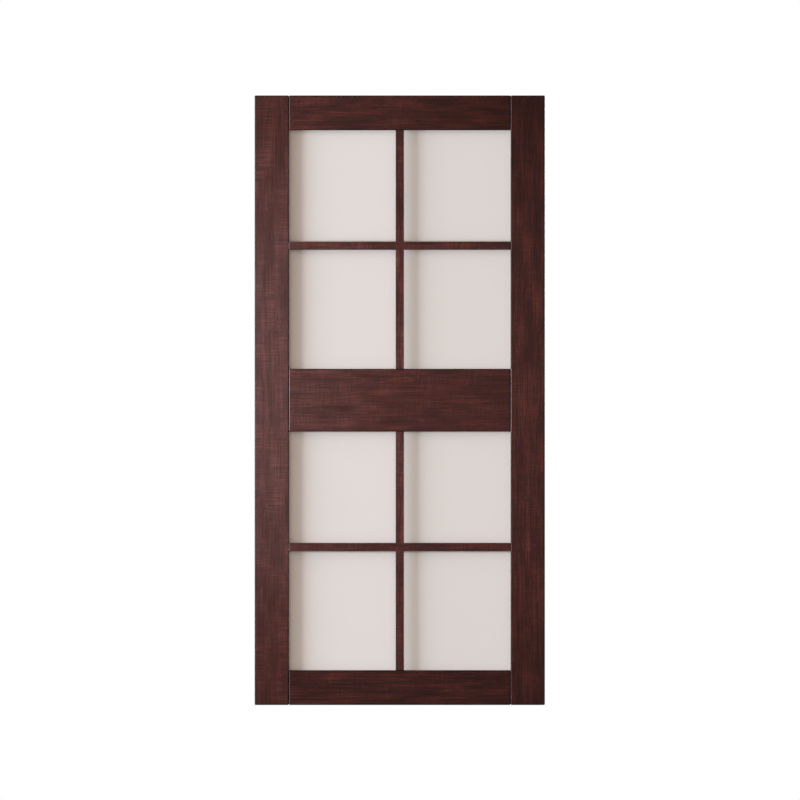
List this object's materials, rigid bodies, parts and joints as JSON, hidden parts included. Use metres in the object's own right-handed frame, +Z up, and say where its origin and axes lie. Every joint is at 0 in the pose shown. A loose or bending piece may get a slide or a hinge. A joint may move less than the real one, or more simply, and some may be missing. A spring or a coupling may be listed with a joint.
{
  "type": "glass panel barn door",
  "caption": "Hanging door leaf of stained wooden stiles and rails, with frosted glass in its openings and a grid of slim bars over each face.",
  "frame": {"origin": "middle of the flat top edge of the door, in the middle of its thickness", "axes": "+X to the right seen from the front, +Y from the front face to the back face, +Z up, so the door hangs down from Z = 0"},
  "size_m": [1.016, 0.035, 2.1336],
  "materials": {
    "stained_wood": "dark brown-red stain under a satin clear coat, fine grain along each board",
    "frosted_glass": "acid-etched on both faces, warm white, nothing shows through it",
    "gasket": "dark brown, matt, extruded channel"
  },
  "bodies": {
    "root": {"left_stile": "stained_wood", "right_stile": "stained_wood", "top_rail": "stained_wood", "lock_rail": "stained_wood", "bottom_rail": "stained_wood", "front_upper_lying_bar": "stained_wood", "front_upper_standing_bar": "stained_wood", "front_lower_lying_bar": "stained_wood", "front_lower_standing_bar": "stained_wood", "back_upper_lying_bar": "stained_wood", "back_upper_standing_bar": "stained_wood", "back_lower_lying_bar": "stained_wood", "back_lower_standing_bar": "stained_wood", "upper_glass": "frosted_glass", "lower_glass": "frosted_glass", "upper_gasket_top": "gasket", "upper_gasket_right": "gasket", "upper_gasket_bottom": "gasket", "upper_gasket_left": "gasket", "lower_gasket_top": "gasket", "lower_gasket_right": "gasket", "lower_gasket_bottom": "gasket", "lower_gasket_left": "gasket"}
  },
  "joints": []
}
